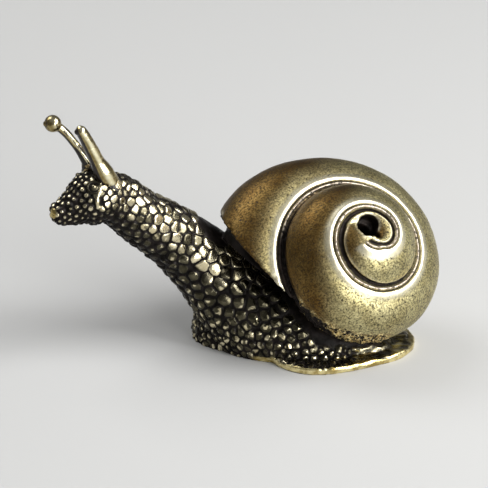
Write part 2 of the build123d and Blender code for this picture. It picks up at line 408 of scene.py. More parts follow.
class Nodes:
    """Builds one material's nodes in short calls."""

    def __init__(self, name):
        self.material = bpy.data.materials.new(name)
        self.material.use_nodes = True
        self.tree = self.material.node_tree
        self.shader = self.tree.nodes["Principled BSDF"]
        coordinates = self.tree.nodes.new("ShaderNodeTexCoord")
        self.place = coordinates.outputs["Object"]
        self.patina = self.stored("patina")
        self.polish_and_highlight = self.stored("polish_and_highlight")

    def put(self, kind, inputs, **settings):
        """Adds a node, and gives its inputs values or links."""
        node = self.tree.nodes.new(kind)
        for key, value in settings.items():
            setattr(node, key, value)
        for key, value in inputs.items():
            self.join(value, node.inputs[key])
        return node

    def join(self, value, socket):
        """Gives a socket a link or a value."""
        if isinstance(value, bpy.types.NodeSocket):
            self.tree.links.new(value, socket)
        else:
            socket.default_value = value

    def give(self, name, value):
        """Gives the shader's input of that name a link or a value."""
        self.join(value, self.shader.inputs[name])

    def stored(self, name):
        """A value stored on the mesh."""
        return self.put("ShaderNodeAttribute", {}, attribute_name=name).outputs["Fac"]

    def noise(self, size, detail=3, roughness=0.55):
        """Soft noise with lumps of a size in millimetres."""
        inputs = {
            "Vector": self.place,
            "Scale": 1 / (size * millimetre),
            "Detail": detail,
            "Roughness": roughness,
        }
        return self.put("ShaderNodeTexNoise", inputs).outputs["Fac"]

    def cells(self, size, feature="F1"):
        """Distance to scattered points, a size in millimetres apart."""
        inputs = {"Vector": self.place, "Scale": 1 / (size * millimetre)}
        return self.put("ShaderNodeTexVoronoi", inputs, feature=feature).outputs["Distance"]

    def math(self, operation, first, second=0.0, third=0.0, clamp=False):
        """One sum."""
        inputs = {0: first, 1: second, 2: third}
        return self.put("ShaderNodeMath", inputs, operation=operation, use_clamp=clamp).outputs[0]

    def step(self, value, low, high, out_low=0.0, out_high=1.0):
        """A soft step from one value to another."""
        inputs = {"Value": value, "From Min": low, "From Max": high, "To Min": out_low, "To Max": out_high}
        return self.put("ShaderNodeMapRange", inputs, interpolation_type="SMOOTHSTEP").outputs["Result"]

    def mix(self, share, first, second, **settings):
        """One colour turning into another. A plain colour is given as red, green and blue."""
        ends = [(*end, 1.0) if isinstance(end, tuple) else end for end in (first, second)]
        inputs = {0: share, 6: ends[0], 7: ends[1]}
        return self.put("ShaderNodeMix", inputs, data_type="RGBA", **settings).outputs[2]

    def bump(self, height, distance, strength=1.0, below=None):
        """Fine relief of a depth in millimetres."""
        inputs = {"Height": height, "Distance": distance * millimetre, "Strength": strength}
        if below is not None:
            inputs["Normal"] = below
        return self.put("ShaderNodeBump", inputs).outputs["Normal"]


def body_material():
    """Rubbed brass on the scales, pale where highlights are painted on the lit side, tarnished lower down in
    a dark colour that also stands for a painted reflection of dark surroundings, with black patina between
    them.
    """
    made = Nodes("antiqued_scales")
    gold = made.stored("gold")
    blotch = made.noise(1.3, 4)
    speck = made.noise(0.2, 3)
    ragged = made.math("MULTIPLY_ADD", speck, 0.5, made.math("SUBTRACT", made.patina, 0.25))
    dirt = made.step(ragged, 0.25, 0.7)
    cloudy = made.step(blotch, 0.35, 0.65)
    # Dark tarnish colour that also stands for a painted reflection of dark surroundings
    tarnish_and_dark_reflection = made.mix(cloudy, (0.048, 0.043, 0.027), (0.105, 0.094, 0.060))
    bright = made.mix(made.step(blotch, 0.3, 0.7), (0.66, 0.57, 0.35), (0.84, 0.76, 0.53))
    metal = made.mix(made.step(made.polish_and_highlight, 0.05, 0.75), tarnish_and_dark_reflection, bright)
    golden = made.mix(cloudy, (0.44, 0.33, 0.11), (0.96, 0.84, 0.45))
    metal = made.mix(gold, metal, golden)
    fleck = made.step(made.noise(0.26, 2, 0.4), 0.66, 0.72)
    dirt = made.math("MAXIMUM", dirt, made.math("MULTIPLY", fleck, 0.8))
    dark = made.mix(made.step(blotch, 0.4, 0.6), (0.006, 0.005, 0.004), (0.014, 0.011, 0.010))
    made.give("Base Color", made.mix(dirt, metal, dark))
    made.give("Metallic", made.step(dirt, 0, 1, 1.0, 0.25))
    made.give("Specular IOR Level", made.step(dirt, 0, 1, 0.5, 0.1))
    smooth = made.math("MULTIPLY_ADD", speck, 0.16, 0.14)
    made.give("Roughness", made.math("MULTIPLY_ADD", dirt, 0.18, smooth))
    pitted = made.bump(made.noise(0.3, 4), 0.05, 0.6)
    made.give("Normal", pitted)
    return made.material


def shell_material():
    """Satin brass with fine dark pits, bright where it is rubbed, and brown where shade is painted on
    surfaces turned to the left.
    """
    made = Nodes("antiqued_shell")
    shaded_brown_share = made.stored("shaded_brown_share")
    bead = made.stored("bead")
    blotch = made.noise(2.6, 4)
    cloud = made.noise(0.8, 4)
    pits = made.cells(0.62)
    fine = made.noise(0.27, 3, 0.7)
    broad = made.step(blotch, 0.3, 0.7)
    olive = made.mix(broad, (0.31, 0.265, 0.125), (0.43, 0.385, 0.205))
    # Painted shade: this brown stands for the dark surroundings reflected by surfaces turned to the left
    shaded_brown = made.mix(broad, (0.098, 0.056, 0.016), (0.150, 0.096, 0.031))
    metal = made.mix(shaded_brown_share, olive, shaded_brown)
    grains = made.step(fine, 0.36, 0.66, 0.45, 1.6)
    metal = made.mix(1.0, metal, grains, blend_type="MULTIPLY")
    pale = made.mix(made.step(cloud, 0.3, 0.7), (0.80, 0.73, 0.50), (0.92, 0.87, 0.68))
    metal = made.mix(made.polish_and_highlight, metal, pale)
    golden = made.mix(made.step(fine, 0.4, 0.6), (0.50, 0.33, 0.10), (1.0, 0.84, 0.44))
    crust = made.stored("crust")
    crumbs = made.step(made.noise(0.4, 3, 0.6), 0.46, 0.53)
    metal = made.mix(crust, metal, golden)
    silver = made.mix(made.step(cloud, 0.35, 0.65), (0.30, 0.24, 0.20), (0.62, 0.55, 0.47))
    metal = made.mix(bead, metal, silver)
    room = made.step(cloud, 0.38, 0.72, 0.03, 0.24)
    hole = made.math("LESS_THAN", pits, room)
    fleck = made.step(fine, 0.43, 0.33)
    dots = made.math("LESS_THAN", made.cells(1.2), made.step(cloud, 0.42, 0.60, 0.05, 0.14))
    hole = made.math("MAXIMUM", hole, dots)
    marks = made.math("MAXIMUM", made.math("MULTIPLY", hole, 0.92), made.math("MULTIPLY", fleck, 0.7))
    marks = made.math("MULTIPLY", marks, made.step(made.polish_and_highlight, 0.3, 0.9, 1.0, 0.08))
    dirt = made.math("MAXIMUM", marks, made.step(made.patina, 0.2, 0.75), clamp=True)
    between = made.math("MULTIPLY", crust, made.math("SUBTRACT", 1.0, crumbs))
    dirt = made.math("MAXIMUM", dirt, between)
    dark = made.mix(made.step(cloud, 0.4, 0.6), (0.008, 0.006, 0.005), (0.022, 0.016, 0.013))
    made.give("Base Color", made.mix(dirt, metal, dark))
    made.give("Metallic", made.step(dirt, 0, 1, 1.0, 0.3))
    made.give("Specular IOR Level", made.step(dirt, 0, 1, 0.5, 0.12))
    satin = made.step(made.polish_and_highlight, 0, 1, 0.36, 0.31)
    made.give("Roughness", made.math("MULTIPLY_ADD", fine, 0.12, satin))
    relief = made.bump(made.math("SUBTRACT", 1.0, marks), 0.05, 0.6)
    relief = made.bump(fine, 0.04, 0.55, relief)
    relief = made.bump(made.math("MULTIPLY", crust, crumbs), 0.2, 0.9, relief)
    made.give("Normal", relief)
    return made.material


def stalk_material():
    """Wire with a painted highlight along its lit side, painted shade on its shaded side and dark streaks
    along its grooves.
    """
    made = Nodes("wire_with_painted_light")
    streak = made.noise(0.5, 3)
    speck = made.noise(0.2, 3)
    ragged = made.math("MULTIPLY_ADD", speck, 0.4, made.math("SUBTRACT", made.patina, 0.2))
    dirt = made.step(ragged, 0.3, 0.75)
    golden = made.mix(made.step(streak, 0.35, 0.65), (0.22, 0.165, 0.065), (0.36, 0.29, 0.13))
    pale = made.mix(made.step(streak, 0.35, 0.65), (0.80, 0.73, 0.47), (0.90, 0.85, 0.62))
    metal = made.mix(made.polish_and_highlight, golden, pale)
    made.give("Base Color", made.mix(dirt, metal, (0.018, 0.013, 0.011)))
    made.give("Metallic", made.step(dirt, 0, 1, 1.0, 0.3))
    made.give("Roughness", made.math("MULTIPLY_ADD", speck, 0.12, 0.14))
    made.give("Normal", made.bump(made.noise(0.45, 3), 0.02, 0.35))
    return made.material


def solder_material():
    """Rough golden crust, dark in its hollows."""
    made = Nodes("solder_crust")
    speck = made.noise(0.25, 4)
    ragged = made.math("MULTIPLY_ADD", speck, 0.7, made.math("SUBTRACT", made.patina, 0.35))
    dirt = made.step(ragged, 0.25, 0.65)
    golden = made.mix(made.step(speck, 0.4, 0.6), (0.34, 0.22, 0.08), (0.60, 0.46, 0.22))
    metal = made.mix(made.polish_and_highlight, golden, (0.86, 0.80, 0.55))
    made.give("Base Color", made.mix(dirt, metal, (0.016, 0.012, 0.010)))
    made.give("Metallic", made.step(dirt, 0, 1, 1.0, 0.25))
    made.give("Roughness", made.math("MULTIPLY_ADD", speck, 0.25, 0.2))
    made.give("Normal", made.bump(made.noise(0.2, 4), 0.05, 0.7))
    return made.material


# Shell frame

turn = math.radians(shell_azimuth)
rise = math.radians(shell_elevation)
shell_axis = Vector((math.cos(rise) * math.sin(turn), -math.cos(rise) * math.cos(turn), math.sin(rise)))
shell_side = Vector((0, 0, 1)).cross(shell_axis).normalized()
shell_up = shell_axis.cross(shell_side)
whole_sweep = 360 * shell_turns
lip_turn = math.radians(lip_azimuth)
lip_rise = math.radians(lip_elevation)
lip_normal = np.array([
    math.cos(lip_rise) * math.cos(lip_turn),
    math.cos(lip_rise) * math.sin(lip_turn),
    math.sin(lip_rise),
])


def in_shell_frame(points):
    """How far each point is from the apex: across, up the shell's side, and deep along its axis."""
    away = points - np.array(apex)
    return away @ np.array(shell_side), away @ np.array(shell_up), -(away @ np.array(shell_axis))


def shell_place(points):
    """Radius from the shell's axis, depth below the apex and angle from the lip, of each point."""
    across, up, depth = in_shell_frame(points)
    angle = np.degrees(np.arctan2(up, across)) - lip_angle
    return np.hypot(across, up), depth, angle


def seam_at(angle):
    """The seam's radius, depth below the apex and share of all the turns, at an angle from the lip."""
    share = np.clip(1 + angle / whole_sweep, 0, 1)
    radius = seam_radius * np.maximum(share, blunt_share) ** seam_growth_power
    radius += blunt_growth * np.maximum(blunt_share - share, 0)
    return radius, spire_height * share ** fall_power, share


def seam_distance(points):
    """Distance from the nearest turn of the seam, positive on the outer side, and the seam's share there."""
    radius, depth, angle = shell_place(points)
    best = np.full(len(points), 1e6)
    signed = np.full(len(points), 1e6)
    along = np.zeros(len(points))
    for turn_back in range(4):
        here = (angle % 360) - 360 * turn_back
        valid = (here <= 2) & (here >= -whole_sweep * (1 - innermost_share))
        seam_r, seam_d, share = seam_at(here)
        gap = np.hypot(radius - seam_r, depth - seam_d)
        nearer = valid & (gap < best)
        best[nearer] = gap[nearer]
        tilt = seam_end_tilt * smoothstep(*tilt_share_ends, share)
        outer = radius - seam_r + tilt * (depth - seam_d) > 0
        signed[nearer] = np.where(outer, gap, -gap)[nearer]
        along[nearer] = share[nearer]
    return signed, along


lip_direction = math.radians(lip_angle)
seam_end = (
    apex
    + shell_side * (math.cos(lip_direction) * seam_radius)
    + shell_up * (math.sin(lip_direction) * seam_radius)
    - shell_axis * spire_height
)


def lip_distance(points):
    """How far each point is ahead of the lip's plane."""
    return (points - np.array(seam_end)) @ lip_normal


# Shell piece

def refine(mesh, chosen):
    """Halves the edges whose two points are chosen, and cuts the faces between them."""
    made = bmesh.new()
    made.from_mesh(mesh)
    edges = [edge for edge in made.edges if all(chosen[end.index] for end in edge.verts)]
    bmesh.ops.subdivide_edges(made, edges=edges, cuts=1, use_grid_fill=True)
    bmesh.ops.triangulate(made, faces=[face for face in made.faces if len(face.verts) > 4])
    made.to_mesh(mesh)
    made.free()
    mesh.update()


def hole_distance(points):
    """Distance from the edge of the hole in the apex, negative inside it, and depth below the apex."""
    across, up, depth = in_shell_frame(points)
    turn_to_hole = math.radians(hole_side)
    bore = np.array([math.cos(turn_to_hole), math.sin(turn_to_hole)]) * hole_offset
    centre = np.array(opening_place)
    plane = np.stack([across, up], axis=1)
    flat = plane - centre
    notch = np.array(notch_place) - centre
    drop_gap = np.full(len(points), 1e6)
    for step in range(notch_steps + 1):
        share = step / notch_steps
        ring = np.linalg.norm(flat - notch * share, axis=1) - hole_radius * (1 - share)
        drop_gap = np.minimum(drop_gap, ring)
    round_gap = np.linalg.norm(plane - bore, axis=1) - hole_radius
    return np.minimum(drop_gap, round_gap), depth


def opening_cutter():
    """A drop-shaped prism along the shell's axis, for the opening in the apex."""
    places = [notch_place]
    for step in range(opening_sides):
        angle = math.tau * step / opening_sides
        places.append((
            opening_place[0] + hole_radius * math.cos(angle),
            opening_place[1] + hole_radius * math.sin(angle),
        ))
    made = bmesh.new()
    for across, up in places:
        for depth in (-opening_depth, opening_depth):
            made.verts.new(apex + shell_side * across + shell_up * up - shell_axis * depth)
    bmesh.ops.convex_hull(made, input=made.verts)
    return add_object("opening", mesh_from("opening", made))


def shell_zones(points, normals):
    """Where each point of the shell lies: across the groove, along it, and near the hole, lip and foot."""
    at = SimpleNamespace()
    signed, at.along = seam_distance(points)
    at.facing = normals @ np.array(shell_axis)
    at.outside = smoothstep(-0.35, 0.15, at.facing)
    at.size = 0.8 + 0.2 * smoothstep(0.2, 0.55, at.along)
    at.place = (signed + 0.05 * grain(points, 2.2, 1)) / at.size
    angle = shell_place(points)[2]
    wider = smoothstep(-0.1, 0.8, -np.cos(np.radians(angle + lip_angle)))
    at.channel_width = channel_width + channel_widening * wider
    at.channel = channel_place - channel_shift * wider
    at.inner_edge = inner_edge_place - inner_edge_shift * wider
    at.hole_gap, depth = hole_distance(points)
    at.clear = smoothstep(0.1, 0.5, at.hole_gap)
    at.in_hole = smoothstep(0.1, -0.05, at.hole_gap) * smoothstep(-0.5, 0.0, depth)
    hole_edge = smoothstep(0.35, 0.2, at.hole_gap) * smoothstep(0.75, 0.45, at.facing)
    at.in_hole = np.maximum(at.in_hole, hole_edge)
    at.near_apex = smoothstep(*apex_share_ends, at.along)
    at.toward_foot = smoothstep(*inner_edge_share_ends, at.along)
    at.near_foot = smoothstep(*black_share_ends, at.along)
    at.lip = lip_distance(points)
    at.near_lip = smoothstep(*lip_edge_ends, at.lip) * smoothstep(-0.3, 0.1, at.outside)
    at.bead = bump_at(at.place, bead_place, bead_width - 0.02)
    return at


def shell_crust(points, normals, lip):
    """How much solder crust clings to the shell's foot, its lumps, and the part of the shell's low edge
    turned away from the front, which gets painted shade.
    """
    facing_front = normals @ front_direction
    x, y, z = points.T
    low_edge = smoothstep(*crust_left_ends, x) * smoothstep(*crust_right_ends, x)
    low_edge *= smoothstep(*crust_front_ends, y) * smoothstep(*crust_top_ends, z)
    ragged = grain(points, 1.1, 14)
    turned = smoothstep(0.60, 0.48, facing_front + 0.16 * ragged)
    at_lip = smoothstep(-1.8, -1.1, lip + 0.5 * ragged) * smoothstep(*crust_lip_top_ends, z)
    crust = low_edge * np.maximum(turned, at_lip) * smoothstep(-0.8, -0.4, facing_front)
    lumps = np.maximum(grain(points, 0.6, 15), -0.15) + 0.7 * np.maximum(grain(points, 0.3, 16), 0)
    # Painted shade under the shell's low edge, where it turns away from the front
    return crust, lumps, low_edge * smoothstep(-0.1, -0.5, facing_front)


def shell_relief(points, at):
    """Height of the groove's parts, the chipped lip and soft dents over the plain shell."""
    shoulder = shoulder_place + 0.1 * at.near_apex
    height = shoulder_height * bump_at(at.place, shoulder, shoulder_width + 0.15 * at.near_apex)
    height -= cut_depth * bump_at(at.place, cut_place, cut_width)
    height += (bead_height + 0.05 * grain(points, 0.5, 13)) * bump_at(at.place, bead_place, bead_width)
    height -= channel_depth * bump_at(at.place, at.channel, at.channel_width)
    height += inner_edge_height * bump_at(at.place, at.inner_edge, inner_edge_width) * (1 - at.toward_foot)
    height = height * at.size * at.outside * at.clear
    height -= at.near_lip * np.maximum(grain(points, 0.9, 2), 0) * lip_chip_depth
    dents = grain(points, 4.0, 3) * dent_depth * at.outside
    return height + (dents + grain(points, 1.0, 4) * ripple_height) * at.clear


def shell_patina(points, at, crust, lumps, low_edge):
    """Where the shell is black: patina in the groove and between the lumps of crust, and painted shade in the
    hole, inside the lip and under the low edge.
    """
    patina = bump_at(at.place, cut_place, cut_width - 0.01)
    patina += 1.15 * bump_at(at.place, at.channel, at.channel_width + 0.03)
    foot_band = smoothstep(1.0, 0.8, at.place) * smoothstep(-1.3, -0.8, at.place)
    patina += at.near_foot * foot_band * (1 - crust)
    patina += at.bead * smoothstep(0.0, 0.5, grain(points, 0.45, 17)) * 0.7
    return np.maximum.reduce([
        patina * (at.outside * at.clear),
        # Painted shade in the hole, inside the lip and under the low edge
        at.in_hole,
        0.9 * smoothstep(0.3, 0.02, at.facing) * smoothstep(-1.0, 0.0, at.lip),
        low_edge * 0.8,
        crust * smoothstep(0.05, -0.12, lumps),
    ])


def shell_polish(points, at):
    """Where the shell is rubbed bright: the shoulder, the inner edge, the hole's rim and the lip's corner."""
    shoulder = smoothstep(cut_place + 0.08, cut_place + 0.22, at.place)
    shoulder *= smoothstep(2.4, 1.35, at.place - 0.7 * at.near_apex)
    inner_edge = bump_at(at.place, at.inner_edge, inner_edge_width - 0.02) * (1 - at.toward_foot)
    polish_and_highlight = shoulder + 0.75 * inner_edge * smoothstep(0.3, 0.7, at.hole_gap)
    rim = 0.8 * smoothstep(0.32, 0.12, at.hole_gap) * (1 - at.in_hole) * smoothstep(0.3, 0.7, at.facing)
    polish_and_highlight = np.maximum(polish_and_highlight, rim)
    polish_and_highlight *= at.outside * smoothstep(-0.3, 0.25, at.facing)
    corner = np.linalg.norm(points - lip_corner, axis=1)
    return np.maximum(polish_and_highlight, smoothstep(*corner_ends, corner) * at.near_lip)


def shell_piece():
    """The shell with its bead, groove, rubbed shoulder, worn lip, crusted edge and pitted skin."""
    cutter = opening_cutter()
    mesh = even_mesh("shell_casting", shell_voxel, cutter)
    bpy.data.objects.remove(cutter)
    relax(mesh, 4)
    signed, _ = seam_distance(points_of(mesh))
    near_groove = (np.abs(signed - 0.35) < 1.1) & (normals_of(mesh) @ np.array(shell_axis) > -0.4)
    refine(mesh, near_groove)
    points = points_of(mesh)
    normals = normals_of(mesh)
    at = shell_zones(points, normals)
    crust, lumps, low_edge = shell_crust(points, normals, at.lip)
    height = shell_relief(points, at) + crust * (crust_thickness + crust_lump_height * lumps)
    move_points(mesh, points + normals * height[:, None])
    # Painted shade: surfaces turned to the left and up are brown, and so is the channel's inner side near the
    # foot, where the brown darkens a highlight and the rubbing is taken out
    turned_left = -0.9 * normals[:, 0] + 0.3 * normals[:, 2]
    shaded_brown = smoothstep(-0.15, 0.42, turned_left + 0.12 * grain(points, 4.0, 5))
    shaded_brown_edge = smoothstep(*shaded_brown_share_ends, at.along)
    shaded_brown_edge *= smoothstep(-0.2, -0.5, at.place) * smoothstep(-3.2, -1.8, at.place)
    polish_and_highlight = shell_polish(points, at) * (1 - shaded_brown_edge)
    keep_value(mesh, "patina", blurred(mesh, shell_patina(points, at, crust, lumps, low_edge)))
    keep_value(mesh, "polish_and_highlight", blurred(mesh, polish_and_highlight))
    keep_value(mesh, "bead", at.bead * at.outside * at.clear)
    keep_value(mesh, "shaded_brown_share", np.maximum(shaded_brown, shaded_brown_edge))
    keep_value(mesh, "crust", crust)
    add_piece("shell", mesh, shell_material(), "shell_brass", "shell_casting")


# Body piece

spine_line = np.array(spine_points)
spine_steps = np.linalg.norm(np.diff(spine_line, axis=0), axis=1)
spine_lengths = np.concatenate([[0], np.cumsum(spine_steps)])


def spine_place(points):
    """Length along the spine of the place on it that is nearest to each point."""
    best = np.full(len(points), 1e9)
    length = np.zeros(len(points))
    for index, step in enumerate(spine_steps):
        start = spine_line[index]
        way = (spine_line[index + 1] - start) / step
        run = np.clip((points - start) @ way, 0, step)
        gap = np.linalg.norm(points - start - run[:, None] * way, axis=1)
        nearer = gap < best
        best[nearer] = gap[nearer]
        length[nearer] = spine_lengths[index] + run[nearer]
    return length


def scale_size(points):
    """How far apart the scales are at each point."""
    length = spine_place(points)
    knots = spine_lengths[[0, 3, 6, 8, 10, 11]]
    sizes = [foot_scale, flank_scale, flank_scale, neck_scale, nape_scale, head_scale]
    size = np.interp(length, knots, sizes)
    low = 1 - smoothstep(2.5, 6.5, points[:, 2])
    return size + (foot_scale - size) * low


def nearest_rows(points, centres):
    """Distance from each point to the nearest two centres, and the number of the nearest."""
    tree = point_tree(centres)
    first = np.zeros(len(points))
    second = np.zeros(len(points))
    owner = np.zeros(len(points), dtype=np.int64)
    for index, point in enumerate(points):
        found = tree.find_n(point, 2)
        owner[index] = found[0][1]
        first[index] = found[0][2]
        second[index] = found[1][2]
    return first, second, owner


def scale_rows():
    """Places for scales in staggered rings round the spine."""
    rows = []
    length = spine_lengths[4]
    ring = 0
    while length < spine_lengths[-2]:
        place = np.array([np.interp(length, spine_lengths, spine_line[:, axis]) for axis in range(3)])
        ahead = np.array([np.interp(length + 0.5, spine_lengths, spine_line[:, axis]) for axis in range(3)])
        way = (ahead - place) / np.linalg.norm(ahead - place)
        across = np.cross([0, 0, 1], way)
        across /= np.linalg.norm(across)
        up = np.cross(way, across)
        half_width = np.interp(length, spine_lengths, spine_half_widths)
        half_height = np.interp(length, spine_lengths, spine_half_heights)
        before = place if ring == 0 else rows[-1]
        size = float(scale_size(before[None])[0])
        count = round(math.pi * (half_width + half_height) / size)
        for index in range(count):
            angle = math.tau * (index + 0.5 * (ring % 2)) / count
            rows.append(place + across * half_width * math.cos(angle) + up * half_height * math.sin(angle))
        length += size * row_step
        ring += 1
    return np.array(rows)


def is_free(grid, key, point, close):
    """Whether no kept point in the cells round a place is nearer than it may be."""
    for steps in itertools.product((-1, 0, 1), repeat=3):
        for other in grid.get((key[0] + steps[0], key[1] + steps[1], key[2] + steps[2]), ()):
            if np.sum((other - point) ** 2) < close ** 2:
                return False
    return True


def scale_centres(points, allowed, rounds):
    """Scale centres spread over the allowed points, in rows on the neck and freely elsewhere."""
    chance = np.random.default_rng(7)
    size = scale_size(points)
    tree = point_tree(points)
    wanted = []
    for place in scale_rows():
        _, index, gap = tree.find(place)
        if gap < 1.2:
            wanted.append(index)
    wanted = list(dict.fromkeys(wanted)) + list(chance.permutation(len(points))[:26000])
    cell = 1.8
    grid = {}
    centres = []
    for index in wanted:
        point = points[index]
        key = tuple(np.floor(point / cell).astype(int))
        if allowed[index] and is_free(grid, key, point, closest_share * size[index]):
            grid.setdefault(key, []).append(point)
            centres.append(point)
    centres = np.array(centres)
    some = np.flatnonzero(allowed)[::3]
    for _ in range(rounds):
        owner = nearest_rows(points[some], centres)[2]
        count = np.bincount(owner, minlength=len(centres))
        filled = count > 0
        for axis in range(3):
            total = np.bincount(owner, points[some, axis], len(centres))
            centres[filled, axis] = total[filled] / count[filled]
    shifts = chance.normal(0, scale_scatter, (len(centres), 3)) * scale_size(centres)[:, None]
    return np.array([tree.find(centre)[0] for centre in centres + shifts])


def line_distance(points, corners):
    """Distance from each point to a line of corners."""
    best = np.full(len(points), 1e9)
    for start, end in zip(np.array(corners[:-1]), np.array(corners[1:])):
        way = end - start
        share = np.clip((points - start) @ way / (way @ way), 0, 1)
        best = np.minimum(best, np.linalg.norm(points - start - share[:, None] * way, axis=1))
    return best


def on_both_cheeks(corners):
    """The same line on both sides of the head."""
    middle = spine_line[head_start]
    way = np.array(snout_tip) - middle
    side = np.array([-way[1], way[0], 0]) / math.hypot(way[0], way[1])
    mirrored = [corner - 2 * ((corner - middle) @ side) * side for corner in corners]
    return [corners, mirrored]


def body_zones(points, normals, shell_gap):
    """How far each point of the body belongs to each of its plain parts, from 0 to 1."""
    at = SimpleNamespace()
    x, y, z = points.T
    soft_noise = grain(points, 1.6, 18)
    ahead_of_lip = smoothstep(*mantle_lip_ends, lip_distance(points)) * smoothstep(*mantle_lip_x_ends, x)
    mantle_width = mantle_reach - mantle_narrowing * smoothstep(*mantle_narrow_x_ends, x) + 0.5 * ahead_of_lip
    at.soft_noise = soft_noise
    at.under = (normals[:, 2] < -0.6) & (z < 0.4)
    at.mantle = smoothstep(mantle_width, mantle_width - 0.8, shell_gap + 0.35 * soft_noise)
    tail_back = smoothstep(*tail_back_x_ends, x) * smoothstep(*tail_back_y_ends, y)
    at.tail = np.maximum(smoothstep(*tail_x_ends, x + 0.8 * soft_noise), tail_back)
    from_nose = np.linalg.norm((points - nose_place) * nose_shape, axis=1)
    at.nose = smoothstep(*nose_ends, from_nose)
    flat_side = smoothstep(0.15, 0.6, np.hypot(normals[:, 0], normals[:, 1]))
    rim_top = rim_height + 0.5 * grain(points, 1.9, 7)
    rim_top += rim_swelling * bump_at(x, rim_swelling_x, rim_swelling_width)
    at.rim = smoothstep(rim_top + 0.12, rim_top - 0.12, z) * smoothstep(*rim_x_ends, x)
    at.rim *= np.maximum(flat_side, smoothstep(1.3, 1.0, z) * smoothstep(4.0, 8.0, x))
    at.rim *= ~at.under
    at.low = smoothstep(*fine_scale_z_ends, z + 0.8 * soft_noise)
    eyes = [place for (place,) in on_both_cheeks([eye_place])]
    at.eyes = np.minimum(*[np.linalg.norm(points - place, axis=1) for place in eyes])
    at.cheeks = np.minimum(*[line_distance(points, corners) for corners in on_both_cheeks(cheek_line)])
    at.ridge = bump_at(at.cheeks, 0.0, cheek_ridge_width)
    at.socket = smoothstep(socket_radius + 0.2, socket_radius, at.eyes)
    at.bare = np.maximum.reduce([at.mantle, at.nose, at.rim, at.tail, at.socket, at.under * 1.0])
    # Painted highlight: the scales on the neck's upper sides that face the lamps count as lit, and are also
    # taken as rubbed and flattened
    worn_side = normals @ worn_direction
    far_side = normals @ (np.array(worn_direction) * [1, -1, 1])
    at.lit = smoothstep(*worn_facing_ends, np.maximum(worn_side, far_side) + 0.05 * soft_noise)
    at.lit *= smoothstep(*worn_z_ends, z + soft_noise) * smoothstep(*worn_x_ends, x)
    at.worn = smoothstep(0.45, 0.9, at.lit) * (1 - at.mantle)
    at.wrinkle = grain(points * [0.4, 1.1, 1.3], 0.55, 20)
    return at


def body_scales(points, at, fine_noise):
    """The scale that each point belongs to: its dome, its tilt, how far inside its edge, and its shine."""
    scale = SimpleNamespace()
    centres = scale_centres(points, at.bare < 0.5, 3)
    first, second, owner = nearest_rows(points, centres)
    size = scale_size(centres)[owner]
    chance = np.random.default_rng(3)
    width = chance.uniform(0.88, 1.1, len(centres))[owner]
    scale.lift = chance.uniform(0.8, 1.15, len(centres))[owner]
    scale.shine = chance.uniform(0.05, 1.0, len(centres))[owner]
    lean = chance.normal(0, scale_lean, (len(centres), 3))[owner]
    border = (second - first) / 2
    reach = (0.56 + 0.09 * np.maximum(at.low, at.worn)) * size * width
    scale.inside = np.minimum(border, reach - first) - (0.05 + 0.1 * at.low) * fine_noise
    bevel = size * (0.42 - 0.2 * at.worn)
    scale.dome = np.sqrt(np.clip(1 - (1 - np.clip(scale.inside / bevel, 0, 1)) ** 2, 0, 1))
    scale.tilt = np.sum((points - centres[owner]) * lean, axis=1) * scale.dome
    scale.size = size
    scale.share = (1 - at.bare) * (1 - 0.8 * smoothstep(0.45, 0.15, at.cheeks))
    return scale


def body_relief(points, at, scale, fine_noise):
    """Height of the scales, the rubbed rim, the wrinkled tail and the face over the plain body."""
    height = scale_height * (0.55 + 0.3 * scale.size) * scale.lift * (scale.dome - 0.75)
    height = height * (1 - 0.3 * at.worn) + scale.tilt
    height += at.low * (fine_noise * foot_grain_height + grain(points, 0.42, 24) * fine_grain_height)
    height *= scale.share
    height += at.rim * (rim_thickness + rim_lump_height * grain(points, 1.6, 19))
    height += at.mantle * (at.soft_noise * 0.05 + fine_noise * 0.03 - mantle_sink)
    height += at.tail * (1 - at.rim) * (wrinkle_height * at.wrinkle + 0.04 * fine_noise)
    height += eye_height * smoothstep(0.5, 0.1, at.eyes)
    height -= eye_ring_depth * bump_at(at.eyes, eye_ring_radius, eye_ring_width)
    height += socket_edge_height * bump_at(at.eyes, socket_radius, eye_ring_width)
    height += cheek_ridge_height * at.ridge
    height[at.under] = 0
    return height


def body_patina(normals, at, scale):
    """Where the body is black: patina between the scales and in the wrinkles, patina and painted shade beside
    the shell, and painted shade under the foot and on surfaces facing down.
    """
    # The gaps between the scales are narrower on the lit, rubbed side
    gap_width = 0.17 - 0.08 * at.lit - 0.05 * at.low + 0.06 * at.soft_noise
    gaps = smoothstep(gap_width + 0.12, gap_width - 0.03, scale.inside) * scale.share
    patina = np.maximum.reduce([
        gaps,
        # Patina and painted shade in the recess beside the shell
        0.95 * at.mantle,
        0.6 * at.tail * (1 - at.rim) * smoothstep(0.2, -0.25, at.wrinkle),
        bump_at(at.eyes, eye_ring_radius, eye_ring_width + 0.03),
        # Painted shade on the sole and on surfaces facing down
        0.85 * at.under,
        0.6 * smoothstep(0.0, 0.7, -normals[:, 2]) * scale.share,
    ])
    return patina * (1 - 0.9 * np.maximum(at.ridge, at.nose))


